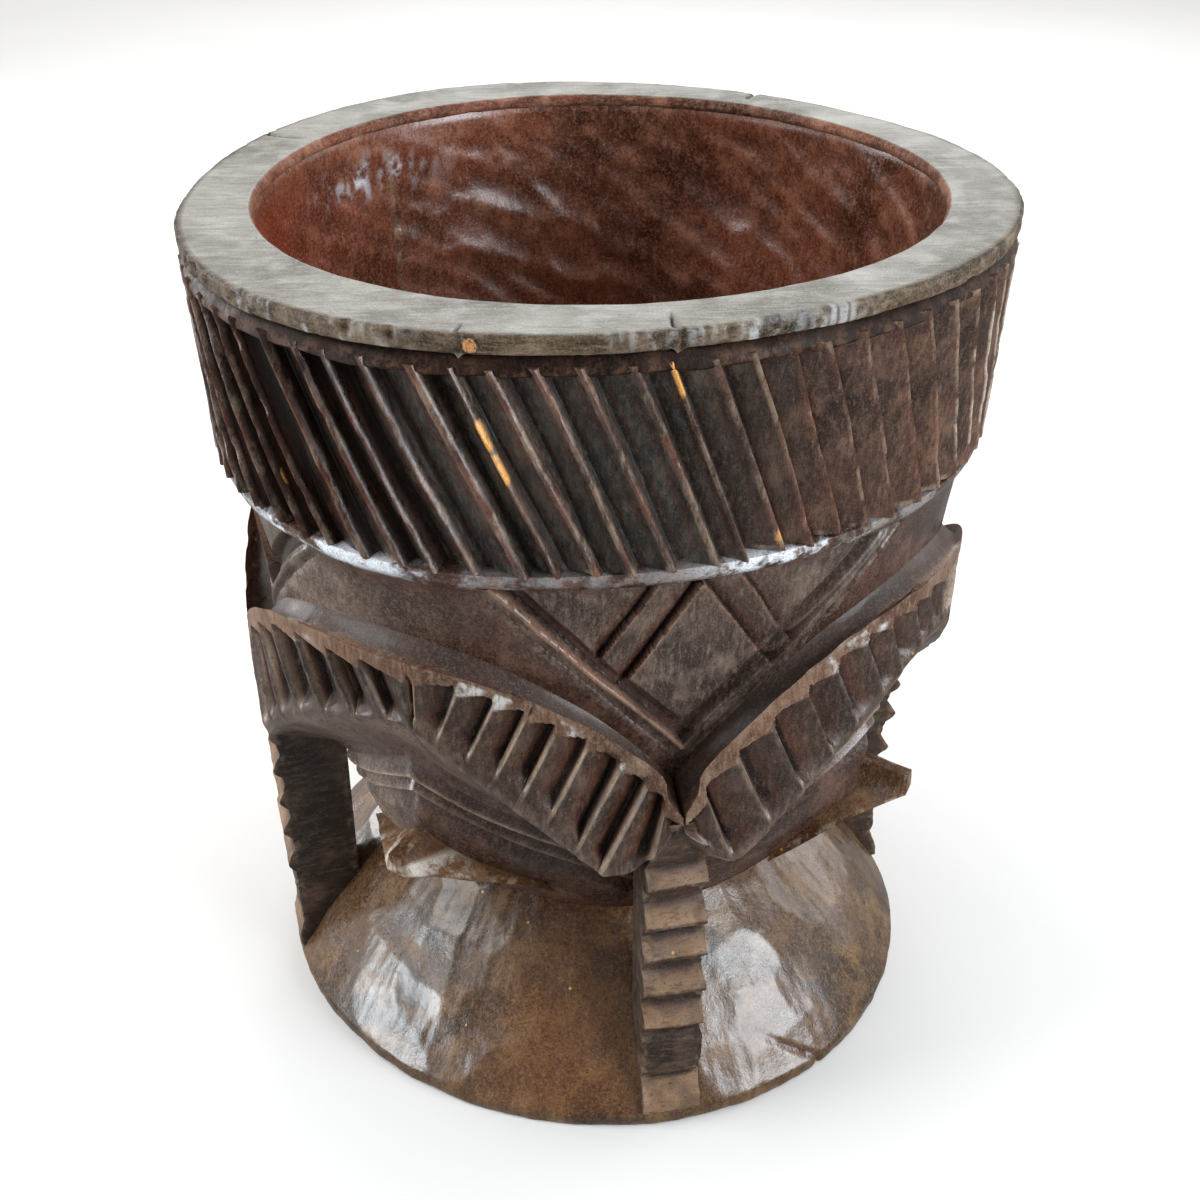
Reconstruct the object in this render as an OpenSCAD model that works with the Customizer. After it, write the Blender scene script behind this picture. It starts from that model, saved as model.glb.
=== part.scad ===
// Carved footed wooden vessel: a deep round bowl on a waisted, domed foot,
// with a slanting fluted band, four serrated arches, four legs and four lugs.
// Every node is one carved zone of the log, and the zones meet face to face.
// Azimuths are degrees anticlockwise seen from above, with 0 at the front (-Y).

/* [Overall] */
// Height from the resting face to the top of the rim
total_h = 456; // [448:1:470]
// Outer radius of the rim, the widest place
rim_r = 202; // [201:1:206]
// Radius of the mouth and of the upper cavity wall
mouth_r = 166; // [160:1:170]
// Radius of the lower cavity wall, where it meets the bottom corner
cavity_low_r = 150; // [140:1:154]
// Radius of the round corner between cavity wall and cavity floor
cavity_corner = 60; // [40:5:80]
// Height of the cavity floor above the resting face
cavity_floor = 190; // [185:1:230]

/* [Rim and collar] */
// Thickness of the rim lip
rim_t = 9; // [7:0.5:12]
// Width of the worn chamfers on the lip's outer edge
rim_chamfer = 3; // [1:0.5:4]
// Height of the plain collar under the lip
collar_h = 7; // [5:0.5:10]
// Outer radius of the collar
collar_r = 199; // [198:0.5:200]
// Depth of the V groove between collar and lip
collar_groove = 4; // [2:0.5:6]

/* [Fluted band] */
// Number of slanting flutes round the bowl
flute_count = 70; // [60:1:80]
// Depth of the sawtooth steps
flute_depth = 7; // [5:0.5:8]
// Slant of the flutes over the height of the band, in degrees round the bowl
flute_slant = 12; // [6:1:14]
// Height of the band's lower edge
flute_low_z = 345; // [340:1:350]
// Radius of the ridges at the band's upper edge
flute_ridge_r = 201; // [200:0.5:201]
// Radius of the plain wall behind the band at its lower edge
flute_seat_low_r = 184; // [182:1:185]
// Radius of the plain wall behind the band at its upper edge
flute_seat_top_r = 190; // [188:1:191]

/* [Bowl wall] */
// Radius at the shoulder, just under the ledge below the flutes
shoulder_r = 186; // [184:1:188]
// Radius of the wall at the foot of the smooth zone
belly_r = 173; // [170:1:176]
// Height of the foot of the smooth zone
belly_z = 223; // [215:1:230]
// Radius of the keels at the four corners
keel_r = 168; // [164:1:170]
// Height of the keels' lower ends
keel_z = 157; // [152:1:162]
// Height and width of the small ledge under the flutes
ledge = 5; // [4:0.5:6]
// Distance of each side face from the axis, at the underside
side_r = 122; // [118:1:128]
// Outward lean of the side faces, in degrees from upright
side_lean = 25.6; // [24:0.1:27]

/* [Foot and neck] */
// Radius of the foot where it stands
foot_r = 185; // [182:1:187]
// Height of the upright edge of the foot
foot_edge = 8; // [6:1:12]
// Height of the domed foot
foot_h = 97; // [94:1:100]
// Rise of the dome's curve above a straight cone
dome_rise = 5.5; // [3:0.5:7]
// Radius of the neck between foot and bowl
neck_r = 102; // [98:1:106]
// Height of the neck
neck_h = 15; // [13:1:18]
// Hollowing of the neck's side
neck_hollow = 3; // [1:0.5:4]

/* [Arches] */
// Azimuth of the first leg; the others follow every quarter turn
leg_az = 12.5; // [10:0.5:15]
// Height of the arches' upper edge at the peak
arch_peak_z = 294; // [290:1:298]
// Height of the arches' upper edge over the legs
arch_valley_z = 212; // [208:1:216]
// Height of the arches' lower edge at the peak
arch_low_peak_z = 250; // [246:1:254]
// Height of the arches' lower edge at the legs
arch_low_valley_z = 176; // [172:1:180]
// Outer radius of the arches at the peak
arch_peak_r = 194; // [192:1:196]
// Outer radius of the arches over the legs
arch_valley_r = 190; // [188:1:192]
// Angle between the teeth cut into an arch
tooth_pitch = 5; // [4.5:0.5:6]
// Depth of the teeth
tooth_depth = 6; // [4:0.5:7]
// Plain margin above the teeth
tooth_margin = 8; // [6:1:10]

/* [Chevron panels] */
// Thickness of the plain panel on the wall
panel_t = 2; // [1:0.5:3]
// Thickness of the ribs and of the V border
panel_rib_t = 5; // [4:0.5:6]
// Width of the ribs
panel_rib_w = 8; // [6:0.5:10]

/* [Legs] */
// Width of a leg
leg_w = 31; // [28:1:34]
// Distance of a leg's inner face from the axis
leg_inner_r = 146; // [144:1:150]
// Distance of a leg's outer ridges from the axis, at the top
leg_top_r = 190; // [189:0.5:191]
// Distance of a leg's outer ridges from the axis, at the foot
leg_foot_r = 184; // [183:0.5:185]
// Height of the leg's top
leg_top_z = 186; // [184:1:188]
// Number of sawtooth steps down a leg
leg_steps = 5; // [4:1:5]
// Height of one step
leg_pitch = 23; // [21:0.5:24]
// Depth of the steps
leg_step_depth = 7; // [5:0.5:8]

/* [Lugs] */
// Distance of a lug's blunt tip from the axis
lug_tip_r = 188; // [184:1:192]
// Height of the tip's lower edge
lug_tip_z = 157; // [154:1:160]
// Width of the blunt tip
lug_tip_w = 10; // [8:1:14]
// Height of the blunt tip
lug_tip_h = 18; // [16:1:20]
// Width of the root
lug_root_w = 56; // [50:1:60]
// Height of the root
lug_root_h = 30; // [28:1:32]

/* [Hidden] */
$fn = 128;

quarter = 90;
half_arch = quarter / 2;
reach = 400;
slices = 6;
below = 20;
tooth_mouth = 1.15;
arch_points = 12;
arch_top_power = 2.3;
arch_low_power = 1.3;
under_rise = 4;
keel_h = 25;
side_start = 50;
step_share = 0.65;
leg_top_in = 2;
leg_shelf_in = 4;
leg_bevel_in = 10;
lug_root_r = keel_r - 30;
foot_top_r = neck_r + 6;
neck_top = foot_h + neck_h;
rim_low_z = total_h - rim_t;
collar_low_z = rim_low_z - collar_h;
flute_h = collar_low_z - flute_low_z;
upright_z = flute_low_z + 60;
shoulder_z = flute_low_z - 2 * ledge;
flute_taper = flute_seat_low_r / flute_seat_top_r;
leg_shelf_z = leg_top_z - leg_step_depth - leg_steps * leg_pitch;
foot_wood = "saddlebrown";
dark_wood = [0.20, 0.11, 0.08];
red_wood = [0.33, 0.17, 0.13];
pale_wood = [0.60, 0.55, 0.50];
tan_wood = [0.55, 0.36, 0.20];

// Points of a shallow arc from p to q that bulges to the left of the way p to q.
function bulge(p, q, rise, n = 8) =
    let (chord = q - p, side = [-chord[1], chord[0]] / norm(chord))
    [for (i = [0:n]) let (t = i / n) p + t * chord + 4 * rise * t * (1 - t) * side];

// Heights of an arch's edges at u, which runs from -1 to 1 between two legs.
function arch_top(u) = arch_peak_z - (arch_peak_z - arch_valley_z) * pow(abs(u), arch_top_power);
function arch_low(u) = arch_low_peak_z - (arch_low_peak_z - arch_low_valley_z) * pow(abs(u), arch_low_power);
function arch_slope(u) = atan2(arch_top(u + 0.05) - arch_top(u - 0.05), 0.1 * arch_peak_r * PI / 4);

// Radius of the smooth wall at height z, between belly and shoulder.
function wall_r(z) = belly_r + (shoulder_r - belly_r) * (z - belly_z) / (shoulder_z - belly_z);

// Turns a shape that is drawn towards +X to face azimuth az.
module facing(az) {
    rotate([0, 0, az - 90]) children();
}

// Pushes a flat outline, sideways and upwards in millimetres, out towards +X.
module push_out(depth = reach) {
    rotate([90, 0, 90]) linear_extrude(depth) children();
}

module foot_solid() {
    rotate_extrude()
        polygon(concat(
            [[0, 0], [foot_r, 0]],
            bulge([foot_r, foot_edge], [foot_top_r, foot_h], -dome_rise),
            [[0, foot_h]]
        ));
}

module neck_solid() {
    rotate_extrude()
        polygon(concat(
            [[0, foot_h]],
            bulge([neck_r, foot_h], [neck_r, neck_top], neck_hollow),
            [[0, neck_top]]
        ));
}

// The bowl's outer body, with no cavity: a turned wall cut to four leaning side faces.
module bowl_body() {
    difference() {
        rotate_extrude()
            polygon([
                [0, neck_top],
                [neck_r, neck_top],
                [side_r, neck_top + under_rise],
                [keel_r, keel_z],
                [keel_r, keel_z + keel_h],
                [belly_r, belly_z],
                [shoulder_r, shoulder_z],
                [shoulder_r + ledge, shoulder_z + ledge],
                [shoulder_r + ledge, flute_low_z],
                [flute_seat_low_r, flute_low_z],
                [flute_seat_top_r, collar_low_z],
                [flute_seat_top_r, rim_low_z],
                [0, rim_low_z]
            ]);
        for (k = [0:3])
            facing(leg_az + quarter * k)
                translate([side_r, -reach / 2, neck_top])
                    rotate([0, side_lean, 0])
                        translate([0, 0, -side_start])
                            cube([reach, reach, reach]);
    }
}

// The bowl's body in its own place, for cutting a shape that is drawn inside facing(az).
module body_behind(az) {
    rotate([0, 0, 90 - az]) bowl_body();
}

module cavity() {
    corner = [cavity_low_r - cavity_corner, cavity_floor + cavity_corner];
    rotate_extrude()
        polygon(concat(
            [[0, cavity_floor]],
            [for (a = [-90:10:0]) corner + cavity_corner * [cos(a), sin(a)]],
            [[mouth_r, upright_z], [mouth_r, total_h + 1], [0, total_h + 1]]
        ));
}

module foot() {
    color(foot_wood) foot_solid();
}

module neck() {
    color(dark_wood) neck_solid();
}

module bowl() {
    color(red_wood)
        difference() {
            bowl_body();
            cavity();
        }
}

module rim() {
    color(pale_wood)
        rotate_extrude()
            polygon([
                [mouth_r, rim_low_z],
                [rim_r - rim_chamfer, rim_low_z],
                [rim_r, rim_low_z + rim_chamfer],
                [rim_r, total_h - rim_chamfer],
                [rim_r - rim_chamfer, total_h],
                [mouth_r, total_h]
            ]);
}

module collar() {
    color(red_wood)
        rotate_extrude()
            polygon([
                [flute_seat_top_r, collar_low_z],
                [collar_r, collar_low_z],
                [collar_r, rim_low_z - collar_groove / 2],
                [collar_r - collar_groove, rim_low_z],
                [flute_seat_top_r, rim_low_z]
            ]);
}

// A ring of sawtooth ridges that lean round the bowl as they rise.
module flute_band() {
    step = 360 / flute_count;
    valley_r = flute_ridge_r - flute_depth;
    teeth = [for (i = [0:flute_count - 1], edge = [0, 1])
        (edge == 0 ? flute_ridge_r : valley_r)
            * [cos(step * i), sin(step * i)]
            + (edge == 0 ? [0, 0] : 0.6 * [-sin(step * i), cos(step * i)])];
    color(dark_wood)
        difference() {
            translate([0, 0, collar_low_z])
                mirror([0, 0, 1])
                    linear_extrude(flute_h, twist = -flute_slant, scale = flute_taper, slices = slices)
                        polygon(teeth);
            rotate_extrude()
                polygon([
                    [0, flute_low_z - 1],
                    [flute_seat_low_r, flute_low_z - 1],
                    [flute_seat_low_r, flute_low_z],
                    [flute_seat_top_r, collar_low_z],
                    [flute_seat_top_r, collar_low_z + 1],
                    [0, collar_low_z + 1]
                ]);
        }
}

// A skin of thickness t on the smooth wall, kept only where the flat outline lies.
module wall_skin(t) {
    intersection() {
        rotate_extrude()
            polygon([
                [belly_r, belly_z],
                [belly_r + t, belly_z],
                [shoulder_r + t, shoulder_z],
                [shoulder_r, shoulder_z]
            ]);
        push_out() children();
    }
}

// A straight bar of width w between two points of a flat outline.
module bar(p, q, w) {
    way = q - p;
    translate(p)
        rotate(atan2(way[1], way[0]))
            translate([0, -w / 2])
                square([norm(way), w]);
}

// The V panel over a leg: a plain field with a V border and four slanting ribs.
module panel(k) {
    left = [-84, shoulder_z - 4];
    right = [100, shoulder_z - 20];
    tip = [4, belly_z + 20];
    ribs = [
        [[-14, shoulder_z], [-40, shoulder_z - 39]],
        [[8, shoulder_z], [-27, shoulder_z - 52]],
        [[11, shoulder_z], [44, shoulder_z - 46]],
        [[30, shoulder_z], [55, shoulder_z - 36]]
    ];
    color(dark_wood)
        facing(leg_az + quarter * k) {
            wall_skin(panel_t) polygon([left, tip, right]);
            wall_skin(panel_rib_t) {
                bar(tip, left, panel_rib_w);
                bar(tip, right, panel_rib_w);
            }
            wall_skin(panel_rib_t - 1)
                for (rib = ribs) bar(rib[0], rib[1], panel_rib_w);
        }
}

// The sawtooth notches across an arch, at right angles to its run.
module arch_teeth() {
    pitch = arch_peak_r * tooth_pitch * PI / 180;
    last = floor(half_arch / tooth_pitch) - 1;
    for (i = [-last:last]) {
        u = i * tooth_pitch / half_arch;
        length = arch_top(u) - arch_low(u) - tooth_margin;
        rotate([0, 0, i * tooth_pitch])
            translate([arch_valley_r - tooth_depth, 0, arch_low(u)])
                rotate([arch_slope(u), 0, 0])
                    translate([0, 0, -below])
                        linear_extrude(length + below)
                            polygon([
                                [0, 0],
                                [2 * tooth_depth, 0],
                                [2 * tooth_depth, tooth_mouth * pitch]
                            ]);
    }
}

// The outline of one arch as seen square on, from leg to leg.
module arch_outline() {
    us = [for (i = [-arch_points:arch_points]) i / arch_points];
    polygon(concat(
        [for (u = us) [arch_peak_r * sin(u * half_arch), arch_top(u)]],
        [for (u = us) [-arch_peak_r * sin(u * half_arch), arch_low(u)]]
    ));
}

// Arch k springs from leg k and the leg before it.
module arch(k) {
    color(dark_wood)
        facing(leg_az - half_arch + quarter * k)
            difference() {
                intersection() {
                    rotate_extrude()
                        polygon([
                            [0, arch_low_valley_z - below],
                            [arch_valley_r, arch_low_valley_z - below],
                            [arch_peak_r, arch_peak_z],
                            [0, arch_peak_z + 1]
                        ]);
                    push_out() arch_outline();
                    linear_extrude(reach)
                        polygon([[0, 0], [reach, -reach], [reach, reach]]);
                }
                body_behind(leg_az - half_arch + quarter * k);
                arch_teeth();
                for (side = [-1, 1])
                    rotate([0, 0, side * half_arch])
                        leg_prism();
            }
}

// The straight block that a leg is cut from.
module leg_prism() {
    translate([leg_inner_r, -leg_w / 2, 0])
        cube([reach, leg_w, leg_top_z]);
}

// A leg: sawtooth steps down its outer face, then a plain shelf and a bevel to the foot.
module leg(k) {
    lean = (leg_top_r - leg_foot_r) / leg_top_z;
    steps = [for (i = [0:leg_steps - 1], low = [0, 1])
        let (z = leg_top_z - leg_step_depth - leg_pitch * (i + step_share * low))
        [leg_foot_r + lean * z - (low == 0 ? leg_step_depth : 0), z]];
    color(dark_wood)
        facing(leg_az + quarter * k)
            difference() {
                rotate([90, 0, 0])
                    translate([0, 0, -leg_w / 2])
                        linear_extrude(leg_w)
                            polygon(concat(
                                [
                                    [leg_inner_r, 0],
                                    [leg_inner_r, leg_top_z],
                                    [leg_top_r - leg_top_in, leg_top_z]
                                ],
                                steps,
                                [
                                    [leg_foot_r - leg_shelf_in, leg_shelf_z],
                                    [leg_foot_r - leg_shelf_in, leg_shelf_z / 2],
                                    [leg_foot_r - leg_bevel_in, leg_shelf_z / 3],
                                    [leg_foot_r - leg_bevel_in, 0]
                                ]
                            ));
                body_behind(leg_az + quarter * k);
                foot_solid();
            }
}

// A lug: a beak with a blunt square tip that sticks out of a keel.
module lug(k) {
    color(tan_wood)
        facing(leg_az + half_arch + quarter * k)
            difference() {
                hull() {
                    translate([lug_root_r, -lug_root_w / 2, keel_z])
                        cube([1, lug_root_w, lug_root_h]);
                    translate([lug_tip_r - 1, -lug_tip_w / 2, lug_tip_z])
                        cube([1, lug_tip_w, lug_tip_h]);
                }
                body_behind(leg_az + half_arch + quarter * k);
            }
}

foot();
neck();
bowl();
rim();
collar();
flute_band();
panel(0);  // panel_1
panel(1);  // panel_2
panel(2);  // panel_3
panel(3);  // panel_4
arch(0);  // arch_1
arch(1);  // arch_2
arch(2);  // arch_3
arch(3);  // arch_4
leg(0);  // leg_1
leg(1);  // leg_2
leg(2);  // leg_3
leg(3);  // leg_4
lug(0);  // lug_1
lug(1);  // lug_2
lug(2);  // lug_3
lug(3);  // lug_4
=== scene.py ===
"""A carved footed wooden vessel: deep bowl, slanting fluted band, serrated arches, legs and lugs.

Every CAD node is replaced by a hand-carved looking piece built in numpy in the same frame.
Azimuths are degrees anticlockwise seen from above, with 0 at the front (-Y). Units are metres.
"""
import math

import bmesh
import bpy
import numpy as np
from mathutils import Matrix, Vector


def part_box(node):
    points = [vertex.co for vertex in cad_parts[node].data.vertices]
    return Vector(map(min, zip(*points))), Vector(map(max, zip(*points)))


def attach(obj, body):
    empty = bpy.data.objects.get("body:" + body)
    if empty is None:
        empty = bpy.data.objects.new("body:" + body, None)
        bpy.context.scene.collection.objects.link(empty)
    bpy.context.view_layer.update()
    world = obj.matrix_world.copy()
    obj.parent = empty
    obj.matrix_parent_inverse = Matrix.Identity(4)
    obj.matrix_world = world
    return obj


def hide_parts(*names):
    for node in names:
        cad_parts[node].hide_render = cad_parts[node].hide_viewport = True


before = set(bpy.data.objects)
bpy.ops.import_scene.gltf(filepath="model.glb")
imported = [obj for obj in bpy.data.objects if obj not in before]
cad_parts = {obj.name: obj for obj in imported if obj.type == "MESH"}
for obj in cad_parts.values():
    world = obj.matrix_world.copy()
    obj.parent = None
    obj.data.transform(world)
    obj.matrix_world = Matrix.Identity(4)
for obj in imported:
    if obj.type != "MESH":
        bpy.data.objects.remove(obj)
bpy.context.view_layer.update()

MM = 0.001
QUARTER = 90.0
HALF = 45.0

# ---- sizes from the frame
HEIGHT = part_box("rim")[1].z
FOOT_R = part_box("foot")[1].x
FOOT_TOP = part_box("foot")[1].z
FLUTE_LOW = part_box("flute_band")[0].z
FLUTE_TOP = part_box("flute_band")[1].z
LIP_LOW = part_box("rim")[0].z
ARCH_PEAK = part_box("arch_1")[1].z

# ---- carved sizes
LEG_AZ = 12.5
BELLY_R, BELLY_Z = 173 * MM, 223 * MM
SHOULDER_R, SHOULDER_Z = 187 * MM, FLUTE_LOW - 16 * MM
LEDGE_OUT = 7 * MM
EDGE_LOW, EDGE_RISE = 105 * MM, 50 * MM
SIDE_R, SIDE_BULGE = 129 * MM, 36 * MM
MOUTH_R = 166 * MM
CAVITY_LOW_R, CAVITY_FLOOR, CAVITY_CORNER = 150 * MM, 190 * MM, 60 * MM
FLUTES = 70
CHIPS = ((-13, 0.90), (-11, 0.87), (10, 0.955), (26, 0.785))
FLUTE_RIDGE_TOP, FLUTE_RIDGE_LOW = 201.5 * MM, 196.5 * MM
ARCH_DROP, ARCH_LOW_PEAK, ARCH_LOW_END = 82 * MM, 253 * MM, 178 * MM
ARCH_R_PEAK, ARCH_R_LEG = 194 * MM, 192 * MM
BEVEL_PEAK, BEVEL_DROP = 219 * MM, 70 * MM
STRIP_STEP = 6 * MM
TOOTH_DEPTH = 8.5 * MM
TOOTH_LEAN = 0.42
KEYSTONE = 7.0
# Painted shade on the facets of each arch's left-half teeth
ARCH_DARK = (0.8, 0.2, 0.4, 0.5)
LEG_W = 31 * MM
LEG_IN, LEG_TOP_R, LEG_FOOT_R = 146 * MM, 189 * MM, 184 * MM
LEG_PITCH, LEG_STEPS, LEG_STEP_DEPTH = 23 * MM, 5, 9 * MM
LEG_WORN = (1.0, 0.8, 0.9, 0.5)
LUG_TIP_R = 188 * MM
LUG_TIP_Z = (148, 157, 156, 154)
LUG_TURN = (6, -3, 2, 0)
# Painted highlight and painted shade on each lug
LUG_BRIGHT = (0.1, 0.4, 0.3, 1.0)
LUG_DIM = (0.35, 0.2, 0.2, 0.25)
TEETH_RIGHT, TEETH_LEFT = 9, (8, 10, 9, 9)
SHELF_RISE = 8 * MM


# ---- repeatable noise
def joined(x, y, z):
    """Points of shape (..., 3) from their three coordinates."""
    return np.stack(np.broadcast_arrays(x, y, z), axis=-1)


def chance(a, b=0.0, seed=0.0):
    """A repeatable value in 0..1 for each pair of whole numbers."""
    x = np.sin(a * 127.1 + b * 311.7 + seed * 74.7 + 1.3) * 43758.5453
    return x - np.floor(x)


def noise(points, size, seed=0.0):
    """Smooth value noise in -1..1 with features of the given size, for points of shape (..., 3)."""
    p = np.asarray(points) / size + seed * 17.31
    cell = np.floor(p)
    f = p - cell
    f = f * f * (3 - 2 * f)
    total = 0.0
    for corner in range(8):
        step = np.array([corner & 1, corner >> 1 & 1, corner >> 2 & 1])
        c = cell + step
        weight = np.prod(np.where(step, f, 1 - f), axis=-1)
        total = total + weight * chance(c[..., 0] + c[..., 2] * 57.0, c[..., 1], seed)
    return 2 * total - 1


def rough(points, size, octaves=3, seed=0.0):
    """Noise summed over octaves."""
    return sum(noise(points, size / 2**k, seed + k) / 2**k for k in range(octaves))


def smooth(x, lo, hi):
    """0 below lo, 1 above hi, and an even ramp between."""
    t = np.clip((x - lo) / (hi - lo), 0, 1)
    return t * t * (3 - 2 * t)


def tool_cuts(u, v, around, seed, climb=0, spread=0.35):
    """Scalloped tool cuts on a jittered grid: how far each place lies above its cut's bottom.

    u and v count cuts. The pattern closes on itself after `around` cuts along u if v has moved by
    -climb there.
    """
    iu, iv = np.floor(u), np.floor(v)
    best = np.full(np.shape(u), 9.0)
    for du in (-1, 0, 1):
        for dv in (-1, 0, 1):
            cu, cv = iu + du, iv + dv
            key = np.mod(cu, around)
            row = cv + climb * np.floor(cu / around)
            x = cu + 0.5 + spread * (2 * chance(key, row, seed) - 1)
            y = cv + 0.5 + spread * (2 * chance(key, row, seed + 5) - 1)
            d = (u - x) ** 2 + (v - y) ** 2 + 0.25 * chance(key, row, seed + 9)
            best = np.minimum(best, d)
    return best


# ---- places on the vessel
def place(az, r, z, inside=False):
    """Points from azimuth in degrees, radius and height, with the log's uneven outline."""
    a = np.radians(az)
    up = smooth(z, 0.1 * HEIGHT, 0.9 * HEIGHT)
    foot = 1 + 0.028 * np.sin(2 * a) - 0.01 * np.sin(a)
    rim = 1 - 0.032 * np.cos(3 * a - math.radians(62))
    if inside:
        rim = 1 - 0.014 * np.cos(3 * a - math.radians(50))
    r = r * (foot * (1 - up) + rim * up)
    shift = (4.5, 6) if inside else (1.2, 4.3)
    x = r * np.sin(a) + shift[0] * MM * up
    y = -r * np.cos(a) + shift[1] * MM * up
    return joined(x, y, z)


def wrap(az):
    """Degrees folded into -180..180."""
    return (np.asarray(az) + 180.0) % 360.0 - 180.0


def from_leg(az):
    """Signed degrees from the nearest leg, -45..45."""
    return (np.asarray(az) - LEG_AZ + HALF) % QUARTER - HALF


def from_keel(az):
    """Signed degrees from the nearest keel, -45..45."""
    return from_leg(np.asarray(az) + HALF)


def edge_z(az):
    """Height of the body's lower edge."""
    return EDGE_LOW + EDGE_RISE * (np.abs(from_leg(az)) / HALF) ** 2


def strip_line(az):
    """Height where an arch's underside meets the body: it falls away from each keel."""
    return BEVEL_PEAK - BEVEL_DROP * np.abs(from_keel(az)) / HALF


def strip_levels(az):
    """Heights of the edges of the three shingled strips below each arch, from the top down."""
    away = np.abs(from_keel(az)) / HALF
    top = strip_line(az)
    return [top, top - (15 - 5 * away) * MM, top - (24 - 2 * away) * MM, top - (37 - 2 * away) * MM]


def hand(az, z, seed=0.0):
    """Slow unevenness of hand carving, in metres."""
    a = np.radians(az)
    p = joined(0.19 * np.sin(a), 0.19 * np.cos(a), z)
    return 1.1 * MM * noise(p, 60 * MM, seed) + 0.5 * MM * noise(p, 22 * MM, seed + 3)


def body_radius(az, z):
    """Outer radius of the bowl's smooth zone and of the squarish body under the arches."""
    share = np.abs(from_leg(az)) / HALF
    low_r = SIDE_R + SIDE_BULGE * share**2.1
    low_z = edge_z(az)
    t = np.clip((z - low_z) / (BELLY_Z - low_z), 0, 1)
    r = low_r + (BELLY_R - low_r) * t**0.92
    rise = np.clip((z - BELLY_Z) / (SHOULDER_Z - BELLY_Z), 0, 1)
    r = r + (SHOULDER_R - BELLY_R) * rise
    r = r + LEDGE_OUT * smooth(z, SHOULDER_Z, FLUTE_LOW - 3 * MM)
    levels = strip_levels(az)
    for top, low in zip(levels, levels[1:]):
        s = (top - z) / (top - low)
        r = r - np.where((s > 0) & (s < 1), STRIP_STEP * (1 - s), 0)
    return r + hand(az, z)


# ---- meshes
def skin(name, points, close_u=False, close_v=False, caps=(), marks=None):
    """A quad mesh over points[u, v], with end polygons named in caps: u0, u1, v0, v1."""
    nu, nv = points.shape[:2]
    index = np.arange(nu * nv).reshape(nu, nv)
    iu = np.arange(nu if close_u else nu - 1)
    iv = np.arange(nv if close_v else nv - 1)
    a = index[iu][:, iv]
    b = index[(iu + 1) % nu][:, iv]
    c = index[(iu + 1) % nu][:, (iv + 1) % nv]
    d = index[iu][:, (iv + 1) % nv]
    faces = np.stack([a, b, c, d], axis=-1).reshape(-1, 4).tolist()
    ends = {"u0": index[0, ::-1], "u1": index[-1], "v0": index[:, 0], "v1": index[::-1, -1]}
    faces += [ends[cap].tolist() for cap in caps]
    mesh = bpy.data.meshes.new(name)
    mesh.from_pydata(points.reshape(-1, 3).tolist(), [], faces)
    work = bmesh.new()
    work.from_mesh(mesh)
    bmesh.ops.recalc_face_normals(work, faces=work.faces)
    work.to_mesh(mesh)
    work.free()
    mesh.shade_smooth()
    mesh.set_sharp_from_angle(angle=math.radians(50))
    piece = bpy.data.objects.new(name, mesh)
    bpy.context.scene.collection.objects.link(piece)
    for key, values in (marks or {}).items():
        add_mark(mesh, key, np.broadcast_to(values, (nu, nv)).ravel())
    mark_edges(mesh)
    return piece


def columns(*parts):
    """Joins grids side by side, along v."""
    return np.concatenate(parts, axis=1)


def padded(marks, count):
    """Marks with columns of 0 for the hidden back of a piece."""
    return {key: columns(values, np.zeros((len(values), count))) for key, values in marks.items()}


def add_mark(mesh, name, values):
    """A number per vertex that the materials read."""
    layer = mesh.attributes.new(name, "FLOAT", "POINT")
    layer.data.foreach_set("value", np.ascontiguousarray(values, dtype=np.float32))


def mark_edges(mesh):
    """Marks how sharply each place sticks out (edge) or lies in a corner (pit), 0..1."""
    def read(items, key, width, kind):
        values = np.empty(len(items) * width, kind)
        items.foreach_get(key, values)
        return values.reshape(-1, width)

    n = len(mesh.vertices)
    co = read(mesh.vertices, "co", 3, np.float32)
    no = read(mesh.vertices, "normal", 3, np.float32)
    i, j = read(mesh.edges, "vertices", 2, np.int32).T
    way = co[j] - co[i]
    length = np.maximum(np.linalg.norm(way, axis=1), 1e-7)
    turn = np.einsum("ij,ij->i", no[j] - no[i], way) / length
    count = np.bincount(i, minlength=n) + np.bincount(j, minlength=n)

    def spread(per_end_i, per_end_j):
        return (np.bincount(i, per_end_i, n) + np.bincount(j, per_end_j, n)) / np.maximum(count, 1)

    bend = spread(turn, turn)
    wide = bend
    for _ in range(4):
        wide = 0.4 * wide + 0.6 * spread(wide[j], wide[i])
    mixed = 0.5 * bend + 1.2 * wide
    add_mark(mesh, "edge", np.clip(mixed * 3.2, 0, 1))
    add_mark(mesh, "pit", np.clip(-mixed * 3.2, 0, 1))


def carve(piece, node, material):
    """Lets a piece stand for its CAD node, with its finish."""
    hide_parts(node)
    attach(piece, "root")
    piece.data.materials.append(material)
    return piece


# ---- pieces
def outline(*places):
    """Radii and heights, in metres, of places given in mm."""
    return np.array(places).T[:, None, :] * MM


def around(count):
    """Evenly spaced azimuths for a closed ring."""
    return np.linspace(-180, 180, count, endpoint=False)


def ramp(*stops):
    """Joins straight runs: each stop is (value, points in the run that leads to it)."""
    values = [stops[0]]
    for target, count in stops[1:]:
        values += list(np.linspace(values[-1], target, count + 1)[1:])
    return np.array(values)


def hump(x, at, width):
    """1 at a value, falling off smoothly over width to each side."""
    return np.exp(-(((x - at) / width) ** 2))


def near(az, at, width):
    """1 at an azimuth, falling off smoothly over width degrees to each side."""
    return np.exp(-((wrap(az - at) / width) ** 2))


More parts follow.
